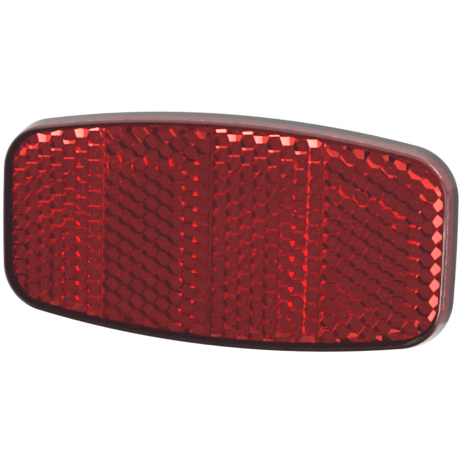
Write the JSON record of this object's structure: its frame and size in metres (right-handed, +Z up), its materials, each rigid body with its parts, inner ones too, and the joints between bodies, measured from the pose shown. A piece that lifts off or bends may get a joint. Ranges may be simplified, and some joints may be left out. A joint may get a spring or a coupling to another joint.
{
  "type": "rack reflector",
  "caption": "Red rear reflector for a bicycle rack: a bowed rectangular lens with hexagonal cube-corner prisms, closed by a black back plate with threaded mounting studs.",
  "frame": {"origin": "midway between the axes of the two studs, on the mounting plane at the back of the bosses", "axes": "+Z up, +X along the long side to the right as seen from the front, +Y out of the back along the studs; the lens faces -Y"},
  "size_m": [0.1104, 0.0231, 0.055],
  "materials": {
    "red_lens": "clear red moulded plastic, polished",
    "black_plate": "black moulded plastic, fine matt grain",
    "stud_steel": "zinc plated steel"
  },
  "bodies": {
    "root": {"lens": "red_lens", "back_plate": "black_plate", "mounting_studs": "stud_steel"}
  },
  "joints": []
}
